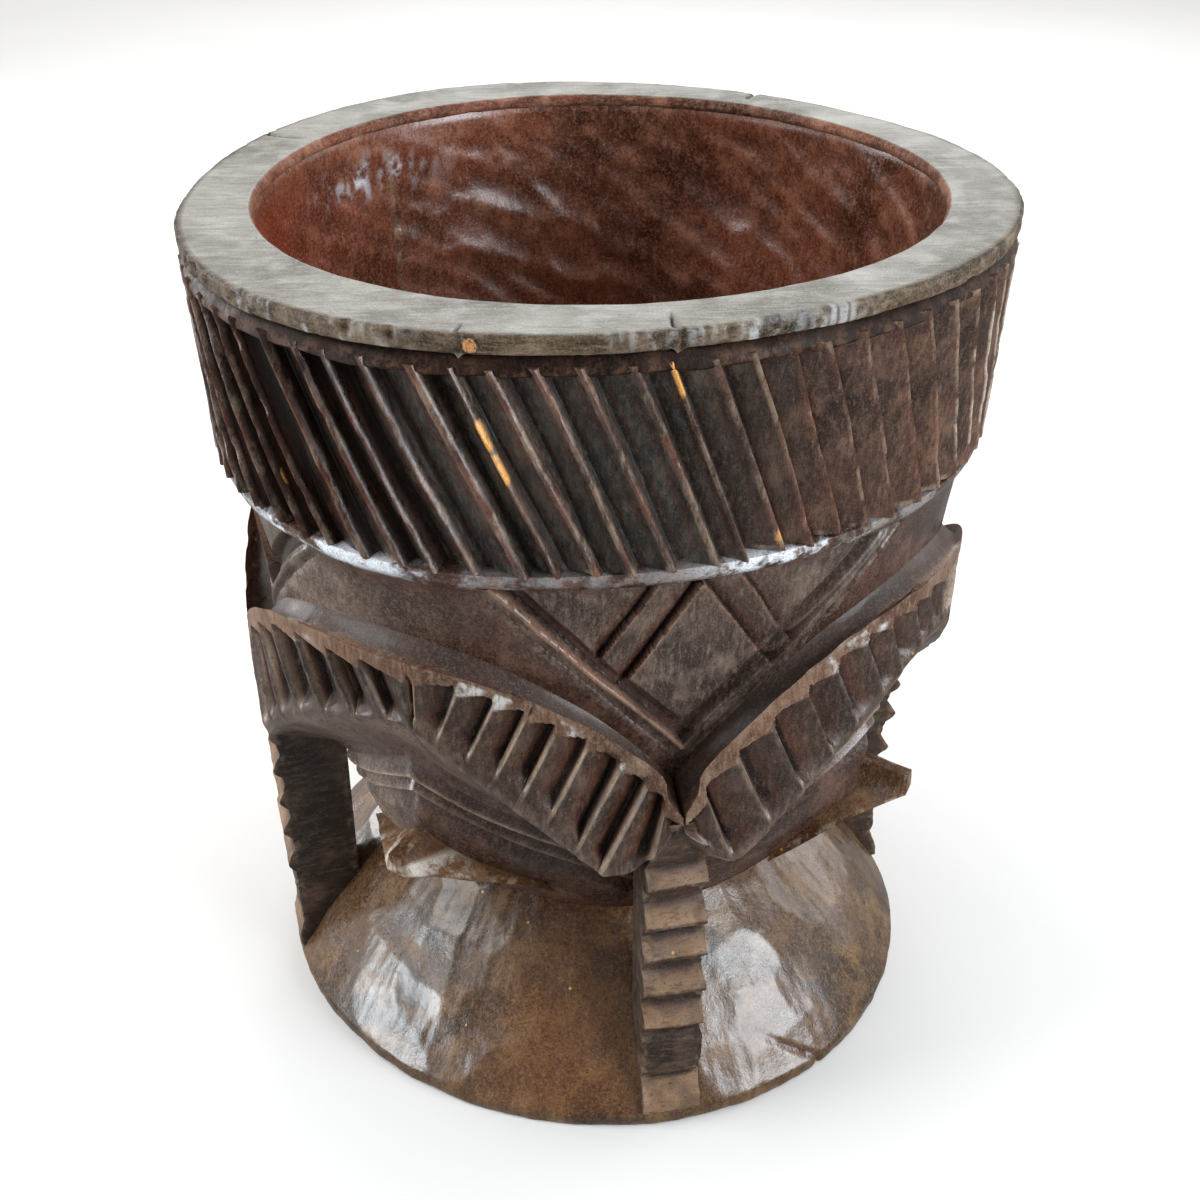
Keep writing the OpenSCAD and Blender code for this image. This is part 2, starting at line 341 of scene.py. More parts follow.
def make_foot():
    """The domed foot, cut with broad adze facets."""
    az = around(560)[:, None]
    r = ramp(4 * MM, (180 * MM, 6), (184.2 * MM, 2), (FOOT_R, 1), (FOOT_R, 3))
    z = ramp(0, (0, 6), (0.6 * MM, 2), (2.5 * MM, 1), (8 * MM, 3))
    t = np.linspace(0, 1, 72)[1:]
    dome_r = FOOT_R - (FOOT_R - 106 * MM) * t + 4 * 4.5 * MM * t * (1 - t)
    dome_z = 8 * MM + (FOOT_TOP - 8 * MM) * t + 4 * 3.0 * MM * t * (1 - t)
    top_r = np.linspace(dome_r[-1], 4 * MM, 6)[1:]
    r = np.concatenate([r, dome_r, top_r])[None, :]
    z = np.concatenate([z, dome_z, np.full(5, dome_z[-1] + 2 * MM)])[None, :]
    along = np.concatenate([np.zeros(12), t, np.ones(6)])[None, :len(z[0])]
    on_dome = smooth(z, 1 * MM, 12 * MM) * smooth(r, 60 * MM, 100 * MM)
    p = place(az, r, z)
    stray = 0.16 * noise(p, 20 * MM, 31), 0.16 * noise(p, 20 * MM, 32)
    facets = 34
    cut = tool_cuts(
        az * facets / 360 + 0.5 * along + stray[0], along * 4.2 + stray[1], facets, 3, spread=0.36
    )
    calm = 0.35 + 0.65 * smooth(noise(p, 90 * MM, 6), -0.4, 0.3)
    lift = (cut - 0.35) * 2.6 * MM * calm + 0.7 * hand(az, z, 2)
    scrape = noise(joined(az * 2.6 * MM, r * 0.12, z * 0.12), 2.6 * MM, 42)
    lift = lift + 0.10 * MM * noise(p, 5 * MM, 41) + 0.16 * MM * scrape
    edge = smooth(r, 150 * MM, 180 * MM) * (1 - on_dome)
    chips = rough(p, 14 * MM, 3, 8) * 0.8 * MM * edge * (z > 0)
    crack = near(az + 40 * along, 41, 0.5) * smooth(0.30 - along, 0, 0.2) * 2.2 * MM
    r = r + 0.75 * lift * on_dome + chips - crack
    z = z + 0.65 * lift * on_dome
    glow = 0.38 * near(az, -6, 15) * on_dome
    return skin("foot_dome", place(az, r, z), close_u=True, caps=("v0", "v1"), marks={"amber": glow})


def make_neck():
    """The waist between foot and bowl."""
    az = around(240)[:, None]
    t = np.linspace(0, 1, 18)
    low, top = FOOT_TOP - 14 * MM, EDGE_LOW + 14 * MM
    r = np.concatenate([[40 * MM], 101 * MM - 5 * MM * np.sin(np.pi * t), [40 * MM]])[None, :]
    z = np.concatenate([[low], low + (top - low) * t, [top]])[None, :]
    cut = tool_cuts(az * 26 / 360, z / (18 * MM), 26, 5)
    r = r + (cut - 0.3) * 3 * MM * (r > 60 * MM)
    return skin("neck_waist", place(az, r, z), close_u=True, caps=("v0", "v1"))


def panel_side(az, z):
    """How far a place lies inside the V of the nearest panel, in metres, negative outside."""
    x = np.radians(from_leg(az)) * 182 * MM
    left, tip, right = PANEL_LEFT, PANEL_TIP, PANEL_RIGHT
    return np.minimum(beside(x, z, tip, left), -beside(x, z, tip, right))


def beside(x, z, p, q):
    """Signed distance of a flat place from the line p to q, positive to its right."""
    run, rise = q[0] - p[0], q[1] - p[1]
    return ((x - p[0]) * rise - (z - p[1]) * run) / math.hypot(run, rise)


PANEL_TIP = (4 * MM, 239 * MM)
PANEL_LEFT = (-84 * MM, 334 * MM)
PANEL_RIGHT = (98 * MM, 322 * MM)


def cavity_profile():
    """Radius and height down the cavity wall, round its corner and across its floor."""
    corner_z = CAVITY_FLOOR + CAVITY_CORNER
    wall_z = np.linspace(HEIGHT - 3.5 * MM, corner_z, 84)
    wall_r = CAVITY_LOW_R + (MOUTH_R - CAVITY_LOW_R) * np.clip((wall_z - corner_z) / (155 * MM), 0, 1)
    wall_r = wall_r + 1.5 * MM + 1.6 * MM * smooth(wall_z, HEIGHT - 9 * MM, HEIGHT - 4 * MM)
    turn = np.radians(np.linspace(0, 90, 15)[1:])
    turn_r = CAVITY_LOW_R + 1.5 * MM - CAVITY_CORNER * (1 - np.cos(turn))
    turn_z = corner_z - CAVITY_CORNER * np.sin(turn)
    floor_r = np.linspace(turn_r[-1], 4 * MM, 9)[1:]
    return (
        np.concatenate([wall_r, turn_r, floor_r]),
        np.concatenate([wall_z, turn_z, np.full(8, CAVITY_FLOOR)]),
    )


def make_bowl():
    """The bowl: squarish body, smooth zone and bead under the flutes outside, gouged cavity inside."""
    az = around(440)[:, None]
    low_z = edge_z(az)
    edge_r = body_radius(az, low_z + 0.5 * MM)
    one = np.ones_like(az)
    t = ramp(0, (1, 9))[None, :]
    under_r = 70 * MM + (edge_r - 70 * MM) * t
    under_z = EDGE_LOW + 8 * MM + (low_z - EDGE_LOW - 8 * MM) * t**1.5
    stops = [low_z] + strip_levels(az)[::-1] + [BELLY_Z * one]
    runs, hair = [], 0.05 * MM
    for low, high, count in zip(stops, stops[1:], (10, 6, 6, 8, 22)):
        runs.append(low + hair + (high - low - 2 * hair) * np.linspace(0, 1, count)[None, :])
    body_z = columns(*runs)
    wall_z = np.linspace(BELLY_Z, FLUTE_LOW - 1 * MM, 44)[None, 1:] * one
    outer_z = columns(body_z, wall_z)
    outer_r = body_radius(az, outer_z)
    sunk = smooth(panel_side(az, outer_z), -6 * MM, -2 * MM) * (outer_z < SHOULDER_Z + 4 * MM)
    outer_r = outer_r - 10 * MM * sunk
    hidden_r = np.array([186, 186, 187, 179])[None, :] * MM * one
    hidden_z = np.array([FLUTE_LOW + 1 * MM, FLUTE_LOW + 30 * MM, LIP_LOW + 3 * MM, HEIGHT - 8 * MM])
    cave_r, cave_z = cavity_profile()
    deep = smooth(-cave_z, -HEIGHT + 7 * MM, -HEIGHT + 22 * MM)[None, :]
    p = place(az, cave_r[None, :], cave_z[None, :])
    # These cuts don't quite meet at azimuth 180, where climb would have to be 36.
    cut = tool_cuts(
        az * 16 / 360 + cave_z[None, :] / (110 * MM) + 0.25 * noise(p, 30 * MM, 21),
        cave_z[None, :] / (17 * MM) - az * 36 / 360 + 0.3 * noise(p, 24 * MM, 22),
        16, 21, climb=-36, spread=0.42,
    )
    gouge = (0.4 - cut) * 4.4 + 1.2 * noise(p, 45 * MM, 23) + 0.3 * noise(p, 6 * MM, 24)
    crack = near(az + 2.5 * noise(p, 30 * MM, 26), -136, 0.5) * deep * (cave_z > 300 * MM)[None, :]
    on_wall = smooth(cave_r, 80 * MM, 128 * MM)[None, :]
    dips = 1.6 * noise(p, 38 * MM, 28) + 0.7 * np.abs(noise(p, 17 * MM, 29)) + 0.2 * noise(p, 6 * MM, 30)
    gouge = (gouge * on_wall + dips * (1 - on_wall)) * MM * deep + 1.2 * MM * crack
    cave_r = cave_r[None, :] + gouge
    outer = place(
        az,
        columns(4 * MM * one, under_r, outer_r, hidden_r),
        columns(under_z[:, :1], under_z, outer_z, hidden_z[None, :] * one),
    )
    inner = place(az, cave_r, cave_z[None, :] - 0.5 * gouge * (cave_z < 230 * MM)[None, :], inside=True)
    # Painted highlights: a pale sheen along the bead under the flutes, strongest at two azimuths, and
    # pale glints high in the cavity at the back left
    glare = np.maximum(near(az, -38, 19), near(az, 27, 12))
    ledge = smooth(outer_z, FLUTE_LOW - 13 * MM, FLUTE_LOW - 7 * MM) * np.maximum(0.2, 1.3 * glare)
    painted_glints = smooth(noise(p * np.array([1, 1, 0.4]), 3.5 * MM, 27), -0.1, 0.4)
    painted_glints = painted_glints * near(az, -132, 12) * hump(cave_z[None, :], HEIGHT - 30 * MM, 10 * MM)
    levels = strip_levels(az)
    first, second = (hump(outer_z, z + 0.5 * MM, 0.9 * MM) for z in levels[1:3])
    # Painted shade: each shingled strip is darker just below its upper edge
    tucked = 0 * outer_z
    for high, low in zip(levels, levels[1:]):
        down = np.clip((high - outer_z) / (high - low), 0, 1)
        tucked = np.maximum(tucked, 0.7 * (1 - down) ** 1.5 * (down > 0))
    amber = near(az, -88, 26) + 0.7 * near(az, 72, 14)
    # Painted light: the body under the left arch and the smooth zone on the left get a lighter palette
    painted_lit_left = near(az, -58, 18) * smooth(strip_line(az) - outer_z, 0, 6 * MM)
    on_smooth = smooth(outer_z, BELLY_Z, BELLY_Z + 20 * MM)
    on_smooth = on_smooth * smooth(SHOULDER_Z - outer_z, -4 * MM, 8 * MM)
    painted_lit_left = np.maximum(painted_lit_left, 0.5 * near(az, -50, 20) * on_smooth)

    def whole(on_wall, on_cavity):
        return columns(0 * one, 0 * under_r, on_wall + 0 * outer_z, 0 * hidden_r, on_cavity + 0 * gouge)

    marks = {
        "ledge": whole(ledge, 0.9 * painted_glints), "crest": whole(first + 0.5 * second, crack),
        "amber": whole(0, amber * deep), "inside": whole(0, 1),
        "side": whole(painted_lit_left, 0), "dim": whole(tucked, 0),
    }
    return skin("bowl_body", columns(outer, inner), close_u=True, caps=("v0", "v1"), marks=marks)


def make_rim():
    """The pale flat lip, with a chamfered mouth and a worn outer edge."""
    az = around(900)[:, None]
    top = HEIGHT
    r, z = outline(
        (176, -12), (171, -9), (168, -6.2), (167.3, -5.2), (167.2, -4), (167.4, -2.6), (167.9, -1.4),
        (168.5, -0.5), (169, -0.1), (169.4, 0), (170.4, 0), (173, 0), (177, 0), (181, 0), (185, 0),
        (189, 0), (193, 0), (197, 0), (199.2, 0), (200.2, -0.2), (200.9, -0.9), (201.2, -2),
        (201.3, -4), (201.2, -6), (200.9, -7.2), (200.2, -8.2), (198.6, -8.9), (196, -9.4), (192, -10),
    )
    z = top + z
    side = smooth(r, 197.5 * MM, 200.5 * MM) * smooth(z, top - 10 * MM, top - 8 * MM)
    mouth = 1 - smooth(r, 168.5 * MM, 170 * MM)
    p = place(az, r, z)
    hatch = noise(joined(az * 3.52 * MM, 0 * r, z * 0.15), 2.4 * MM, 4)
    dents = rough(p, 16 * MM, 3, 6)
    r = r + side * (0.28 * hatch + 0.7 * dents) * MM
    r = r - side * 2.2 * MM * smooth(noise(p, 9 * MM, 12), 0.5, 0.8)
    r = r + mouth * (0.15 * hatch + 0.6 * dents) * MM
    z = z + (0.5 * noise(p, 70 * MM, 2) + 0.12 * noise(p, 9 * MM, 7)) * MM * (z > top - 7 * MM)
    blend = smooth(r, 172 * MM, 197 * MM)[..., None]
    points = place(az, r, z, True) * (1 - blend) + place(az, r, z) * blend
    for at, width, reach in ((10.5, 0.35, 178), (-15, 0.3, 188), (150, 0.35, 182), (-118, 0.3, 176)):
        crack = near(az + 1.2 * noise(p, 30 * MM, 5) * (1 - side), at, width)
        crack = crack * smooth(r, reach * MM, (reach + 8) * MM)
        points = points - crack[..., None] * 2.4 * MM * np.array([0, 0, 1]) * (r < 200 * MM)[..., None]
        points = points * (1 - 0.009 * (crack * side)[..., None] * np.array([1, 1, 0]))
    # Painted highlights: pale patches on the outer side, strongest at two azimuths. The dim mark paints
    # shade on the left of the outer side.
    patches = smooth(noise(joined(az * 3.5 * MM, 0 * r, z), 34 * MM, 8) + 0.5 * hatch, 0.35, 0.7)
    glare = np.maximum(near(az, -38, 13), near(az, 24, 11)) * smooth(hatch + 0.6 * dents, 0.1, 0.5)
    eye = near(az, -13.6, 0.85) * hump(z, top - 4.6 * MM, 3.4 * MM)
    marks = {
        "inside": smooth(-r, -169.3 * MM, -168.6 * MM), "side": side,
        "ledge": side * np.maximum(0.35 * patches, 0.75 * glare),
        "knot": eye * side, "dim": 0.85 * side * near(az, -68, 20),
    }
    return skin("rim_lip", points, close_u=True, close_v=True, marks=marks)


def make_collar():
    """The groove under the lip and the plain sloping band below it."""
    az = around(720)[:, None]
    r, z = outline(
        (186, -22), (195, -20), (198.5, -18.6), (200.2, -17.2), (200, -15.5), (198.8, -13), (197.4, -11),
        (196, -9.8), (194.6, -9.2), (194, -8.4), (194, -7), (190, -5), (186, -5),
    )
    z = HEIGHT + z
    p = place(az, r, z)
    outer = smooth(r, 192 * MM, 196 * MM)
    low = smooth(-z, -(HEIGHT - 12 * MM), -(HEIGHT - 17 * MM))
    z = z + (0.9 * noise(p, 40 * MM, 5) + 0.9 * noise(p, 11 * MM, 6) * low) * MM
    r = r + outer * (0.5 * noise(p, 30 * MM, 2) + 0.35 * rough(p, 7 * MM, 2, 3)) * MM
    return skin("collar_band", place(az, r, z), close_u=True, close_v=True)


def flute_columns():
    """Azimuth share of each column of a flute, and its height as a rounded rib and as a flat slat."""
    share = np.array([0, 0.04, 0.1, 0.2, 0.32, 0.44, 0.55, 0.64, 0.72, 0.79, 0.86, 0.92, 0.955, 0.98])
    rib = np.array([0.08, 0.0, 0.03, 0.14, 0.27, 0.36, 0.43, 0.54, 0.77, 0.94, 1.0, 0.9, 0.62, 0.3])
    slat = np.array([0, 0.05, 0.14, 0.28, 0.42, 0.54, 0.65, 0.74, 0.82, 0.89, 0.96, 1.0, 0.75, 0.3])
    return share, rib, slat


def flute_slant(az):
    """Degrees that a flute turns over the band: steeper at the front right."""
    return 12 - 5 * near(az, 75, 45)


def make_flutes():
    """The band of slanting sawtooth flutes, each cut a little differently."""
    share, rib, slat = flute_columns()
    k = np.arange(FLUTES)
    start = (k + 0.32 * (chance(k, 0, 31) - 0.5)) * 360 / FLUTES - 180
    width = np.diff(np.append(start, start[0] + 360))
    az = (start[:, None] + width[:, None] * share).ravel()
    flute = np.repeat(k, len(share))
    flat = smooth(wrap(az), -5, 40) * (1 - smooth(wrap(az), 140, 180))
    high = np.tile(rib, FLUTES) * (1 - flat) + np.tile(slat, FLUTES) * flat
    rows = 58
    t = np.linspace(0, 1, rows)[None, :]
    top = FLUTE_TOP + (1.6 * (chance(flute, 1, 7) - 0.5) + 1.5)[:, None] * MM
    low = FLUTE_LOW + (2.4 * (chance(flute, 2, 7) - 0.5) - 0.5)[:, None] * MM
    z = low + (top - low) * t
    turn = flute_slant(az)[:, None] * (1 - t)
    sway = noise(joined(flute[:, None] * 3.7, t * 2.0, 0 * z), 1.0, 9)
    a = az[:, None] + turn + 0.35 * sway
    crest = FLUTE_RIDGE_LOW + (FLUTE_RIDGE_TOP - FLUTE_RIDGE_LOW) * t
    depth = (9.5 - 1.5 * flat) * MM * (0.85 + 0.3 * chance(flute, 3, 7))
    depth = depth[:, None] * (0.9 + 0.1 * sway)
    r = crest - depth * (1 - high[:, None])
    p = place(a, r, z)
    worn = smooth(high, 0.7, 1.0)[:, None]
    nicks = 0.9 * smooth(noise(p, 7 * MM, 4), 0.1, 0.9) + 0.5 * smooth(noise(p, 26 * MM, 5), 0, 1)
    r = r - worn * nicks * MM
    r = r + 0.35 * MM * noise(p, 12 * MM, 6) + 0.8 * MM * noise(p, 60 * MM, 1)
    back_r = np.array([192, 186, 186]) * MM + 0 * top
    points = place(
        columns(a, a[:, -1:], a[:, -1:], a[:, :1]), columns(r, back_r), columns(z, top, top, low)
    )
    ridge = smooth(high, 0.72, 0.97)[:, None] * (0.65 + 0.35 * noise(p, 24 * MM, 3))
    turned = wrap(a)
    right = smooth(turned, 8, 34) * (1 - smooth(turned, 130, 170))
    left = smooth(-turned, 10, 34)
    far = smooth(turned, 48, 62) * (1 - smooth(turned, 120, 150))
    bare = 0.0
    for at, up in CHIPS:
        chip = near(a, at, 1.6) * hump(z, up * HEIGHT, 9 * MM)
        bare = np.maximum(bare, chip * (high > 0.8)[:, None])
    bare = smooth(bare + 0.2 * noise(p, 3 * MM, 14), 0.35, 0.5)
    # Painted light and shade by side: the right takes a lighter, browner copy of the wood and the left a
    # near black copy; far paints pale highlights on the crests at the far right
    marks = {
        "crest": ridge * (1 - 0.6 * right), "side": right, "inside": left, "chip": bare,
        "ledge": far * smooth(high, 0.9, 1.0)[:, None],
    }
    return skin("flute_band_ridges", points, close_u=True, close_v=True, marks=padded(marks, 3))


def rib_shade(s, deep, reach):
    """A shingle step: full depth against the rib at s = 0, fading out over reach."""
    return deep * np.exp(-np.maximum(s, 0) / reach)


def panel_depth(x, z):
    """Depth of the chevron carving below the smooth wall at a flat place, and how near a rib's crest."""
    top = SHOULDER_Z
    rib_a = beside(x, z, (-40 * MM, top - 39 * MM), (-14 * MM, top))
    rib_b = beside(x, z, (-27 * MM, top - 52 * MM), (8 * MM, top))
    rib_c = -beside(x, z, (44 * MM, top - 46 * MM), (11 * MM, top))
    rib_d = -beside(x, z, (55 * MM, top - 36 * MM), (30 * MM, top))
    left = beside(x, z, PANEL_TIP, PANEL_LEFT)
    right = -beside(x, z, PANEL_TIP, PANEL_RIGHT)
    deep = 7 * MM
    field = np.zeros_like(x)
    field = np.where(rib_b < 0, rib_shade(-rib_b, deep, 8 * MM), field)
    field = np.where(rib_a < 0, rib_shade(-rib_a, 0.9 * deep, 11 * MM), field)
    field = np.where(rib_c < 0, rib_shade(-rib_c, deep, 9 * MM), field)
    field = np.where(rib_d < 0, rib_shade(-rib_d, 0.8 * deep, 10 * MM), field)
    field = field + 1.2 * MM
    left_cut = deep * (1 - smooth(left, 4 * MM, 12 * MM))
    right_cut = 1.1 * deep * smooth(right, 0, 6 * MM) * (1 - smooth(right, 10 * MM, 13 * MM))
    inside = smooth(left, 0, 1.3 * MM) * smooth(right, -0.5 * MM, 1 * MM)
    lip = 0.8 * MM * hump(left, -1.2 * MM, 1.6 * MM) * (right > -2 * MM)
    lip = lip + 0.5 * MM * hump(right, -2 * MM, 2 * MM) * (left > -2 * MM)
    depth = np.maximum.reduce([field, left_cut, right_cut]) * inside - lip
    in_field = (left > 9 * MM) & (right > 9 * MM)
    crest = 0.0
    groove = smooth(right_cut, 1 * MM, 5 * MM) * inside
    for line, shown in ((rib_a, in_field), (rib_b, in_field), (rib_c, in_field), (rib_d, in_field),
                        (left + 0.8 * MM, right > -2 * MM)):
        crest = np.maximum(crest, hump(line, 0.3 * MM, 1.1 * MM) * shown)
    return depth, crest, groove


def make_panel(k):
    """The V panel over leg k: a border ridge, grooves and shingled ribs cut into the wall."""
    across, rows = 230, 124
    t = np.linspace(0, 1, rows)[None, :]
    low, high = PANEL_TIP[1] - 12 * MM, SHOULDER_Z + 5 * MM
    z = low + (high - low) * t
    spread = np.clip((z - PANEL_TIP[1]) / (PANEL_LEFT[1] - PANEL_TIP[1]), 0, 1.1)
    left = PANEL_TIP[0] + (PANEL_LEFT[0] - PANEL_TIP[0]) * spread - 9 * MM
    spread = np.clip((z - PANEL_TIP[1]) / (PANEL_RIGHT[1] - PANEL_TIP[1]), 0, 1.1)
    right = PANEL_TIP[0] + (PANEL_RIGHT[0] - PANEL_TIP[0]) * spread + 9 * MM
    s = np.linspace(0, 1, across)[:, None]
    x = left + (right - left) * s
    z = z + 0 * x
    az = LEG_AZ + QUARTER * k + np.degrees(x / (182 * MM))
    wobble = joined(x, z, 0.05 * k)
    bent_x = x + 0.9 * MM * noise(wobble, 25 * MM, 6)
    bent_z = z + 0.9 * MM * noise(wobble, 25 * MM, 7)
    depth, crest, groove = panel_depth(bent_x, bent_z)
    rim = np.minimum.reduce([x - left, right - x, z - low, high - z])
    flush = 0.3 * MM - 1.2 * MM * (1 - smooth(rim, 0, 7 * MM))
    r = body_radius(az, z) - depth + flush
    front = place(az, r, z)
    back = place(az, r - 6 * MM, z)
    loop = columns(front, back[:, ::-1])
    # Painted shade: the right groove of the V is darkened
    marks = {"crest": crest, "warm": smooth(depth, 2 * MM, 8 * MM), "dim": 0.6 * groove}
    name = f"panel_{k + 1}_chevrons"
    return skin(name, loop, close_v=True, caps=("u0", "u1"), marks=padded(marks, rows))


def arch_top_z(u):
    """Height of an arch's upper edge at share u of the way from peak to leg."""
    return ARCH_PEAK - ARCH_DROP * np.abs(u) ** 2.3


def arch_low_z(az):
    """Height of an arch's lower outer edge, az degrees past its keel: highest just past it."""
    side = np.asarray(az, float) - 4
    right = 100 * MM * np.clip(side / 41, 0, 2) ** 1.45
    left = 94 * MM * np.clip(-side / 49, 0, 2) ** 1.75
    over_leg = ARCH_LOW_END + 24 * MM * np.clip((np.abs(az) - 40) / 5, 0, 1)
    return np.maximum(ARCH_LOW_PEAK - right - left, over_leg)


def arch_columns(k):
    """Azimuths along an arch, with the sawtooth's height, a tooth number and the crest at each.

    The teeth's risers face the keystone.
    """
    share = np.array([0, 0.04, 0.08, 0.12, 0.15, 0.19, 0.26, 0.36, 0.47, 0.58, 0.68, 0.78, 0.88, 0.95])
    height = np.array([0, 0.33, 0.72, 0.96, 1.0, 0.98, 0.91, 0.79, 0.65, 0.5, 0.35, 0.2, 0.07, 0.0])
    az, high, tooth, crest = [], [], [], []
    for side, teeth, end in ((1, TEETH_RIGHT, HALF), (-1, TEETH_LEFT[k], -HALF)):
        reach = end - KEYSTONE
        steps = np.linspace(0, 1, teeth + 1) ** (0.95 if side > 0 else 1.05)
        for i in range(teeth):
            loose = 0.16 * (chance(i, k, 3 + side) - 0.5) / teeth
            start = steps[i] + loose * (i > 0)
            width = steps[i + 1] - steps[i]
            az += list(KEYSTONE + reach * (start + width * share))
            high += list(height)
            crest += list((share > 0.03) * (share < (0.16 if side > 0 else 0.11)))
            tooth += [side * (i + 1)] * len(share)
    az, high, tooth, crest = np.array(az), np.array(high), np.array(tooth), np.array(crest)
    order = np.argsort(az, kind="stable")
    return az[order], high[order], tooth[order], crest[order]


def make_arch(k):
    """Arch k, from the leg before it to leg k: cove, plain margin, teeth and smooth underside."""
    az, high, tooth, crisp = arch_columns(k)
    centre = LEG_AZ - HALF + QUARTER * k
    u = (az / HALF)[:, None]
    top, low = arch_top_z(u), arch_low_z(az)[:, None]
    lean = TOOTH_LEAN * np.clip((az - KEYSTONE) / 6, -1, 1) * smooth(HALF - np.abs(az), 0, 7)
    lean = lean[:, None]
    outer = ARCH_R_PEAK - (ARCH_R_PEAK - ARCH_R_LEG) * np.abs(u)
    base = az[:, None] + centre
    strip = strip_line(base) - 3 * MM

    v = np.linspace(0, 1, 42)[None, :]
    z = top - 1.0 * MM + (low - top + 1.0 * MM) * v
    a = base + np.degrees(lean * (z - 0.5 * (top + low)) / (190 * MM))
    margin = (6.5 + 4 * high + 1.5 * (tooth < 0) + 2 * (chance(tooth, k, 2) - 0.5))[:, None] * MM
    in_teeth = smooth(top - z, margin, margin + 1.6 * MM)
    fade = np.where(tooth > 0, 0.62 + 0.26 * smooth(az, 22, 42), 0.76) + 0.06 * (high - 0.5)
    fade = fade[:, None]
    shallow = 1 - 0.93 * smooth(v, fade, fade + 0.2)
    depth = TOOTH_DEPTH * (0.75 + 0.5 * chance(tooth, k, 5))[:, None] * shallow
    r = outer - depth * (1 - high[:, None]) * in_teeth
    r = r - 2.0 * MM * smooth(v, 0.86, 1.0) ** 2
    p = place(a, r, z)
    r = r + (0.5 * noise(p, 14 * MM, 3) + 0.5 * noise(p, 40 * MM, 5) + 0.15 * noise(p, 4 * MM, 7)) * MM
    worn = smooth(noise(p, 8 * MM, 8), 0.0, 0.8)
    r = r - 1.0 * MM * worn * np.maximum(smooth(high, 0.85, 1)[:, None], 1 - smooth(top - z, 0, 4 * MM))

    cove = np.linspace(0, 1, 11)[None, :-1]
    wall = body_radius(base, top + SHELF_RISE + 1 * MM) - 1.0 * MM
    cove_z = top + SHELF_RISE * (1 - cove) ** 1.5 - 1.5 * MM * cove**3
    cove_r = wall + (r[:, :1] - 0.6 * MM - wall) * cove**1.5
    on_shelf = place(base, cove_r, cove_z)
    cove_z = cove_z + 0.5 * MM * noise(on_shelf, 12 * MM, 15) * smooth(cove, 0.1, 0.5)

    bevel = np.linspace(0, 1, 18)[None, 1:]
    bevel_z = z[:, -1:] + (strip - z[:, -1:]) * bevel
    inner = body_radius(base, strip) - 1.5 * MM
    even = outer - 0.3 * TOOTH_DEPTH
    edge_r = even + (r[:, -1:] - even) * (1 - smooth(bevel, 0, 0.3))
    bevel_r = edge_r + (inner - edge_r) * (0.9 * bevel + 0.1 * bevel**2)
    bevel_a = a[:, -1:] + (base - a[:, -1:]) * bevel

    back_z = np.linspace(1, 0, 6)[None, :] * (top + SHELF_RISE - strip) + strip
    back_r = body_radius(base, back_z) - 6 * MM
    points = place(
        columns(base + 0 * cove_z, a, bevel_a, base + 0 * back_z),
        columns(cove_r, r, bevel_r, back_r[:, ::-1]),
        columns(cove_z, z, bevel_z, back_z[:, ::-1]),
    )
    # Painted shade on the left-half tooth facets, as strong as ARCH_DARK says, and in the cove; painted
    # sheen patches on the margin
    dark_side = np.where(tooth < 0, ARCH_DARK[k], 0)
    in_band = smooth(top - z, -1 * MM, 0.5 * MM) * (1 - in_teeth)
    shown = crisp[:, None] * in_teeth * (1 - smooth(v, fade + 0.05, fade + 0.22))
    sheen_patches = smooth(noise(p, 18 * MM, 11) + 0.4 * high[:, None] + 0.2 * noise(p, 4 * MM, 12), 0.68, 0.82)
    sheen_patches = sheen_patches * (top - z > 3 * MM) * smooth(HALF - np.abs(az), 5, 9)[:, None]
    facet = in_teeth * shallow * (1 - crisp[:, None])

    def whole(on_cove, on_teeth, on_bevel):
        return columns(on_cove + 0 * cove_z, on_teeth + 0 * z, on_bevel + 0 * bevel_z, 0 * back_z)

    marks = {
        "crest": whole(0, shown, 0),
        "warm": whole(0.8 * (1 - cove), (1 - high[:, None]) ** 1.3 * facet, 0.1),
        "side": whole(smooth(cove, 0.7, 0.9), in_band, 0),
        "ledge": whole(0, in_band * sheen_patches, 0),
        "inside": whole(0, 0.6 * smooth(v, 0.85, 1.0), 1 - 0.5 * bevel),
        "dim": whole(0.75 * (1 - smooth(cove, 0.7, 0.95)), facet * dark_side[:, None], 0),
    }
    return skin(f"arch_{k + 1}_teeth", points, close_v=True, caps=("u0", "u1"), marks=marks)


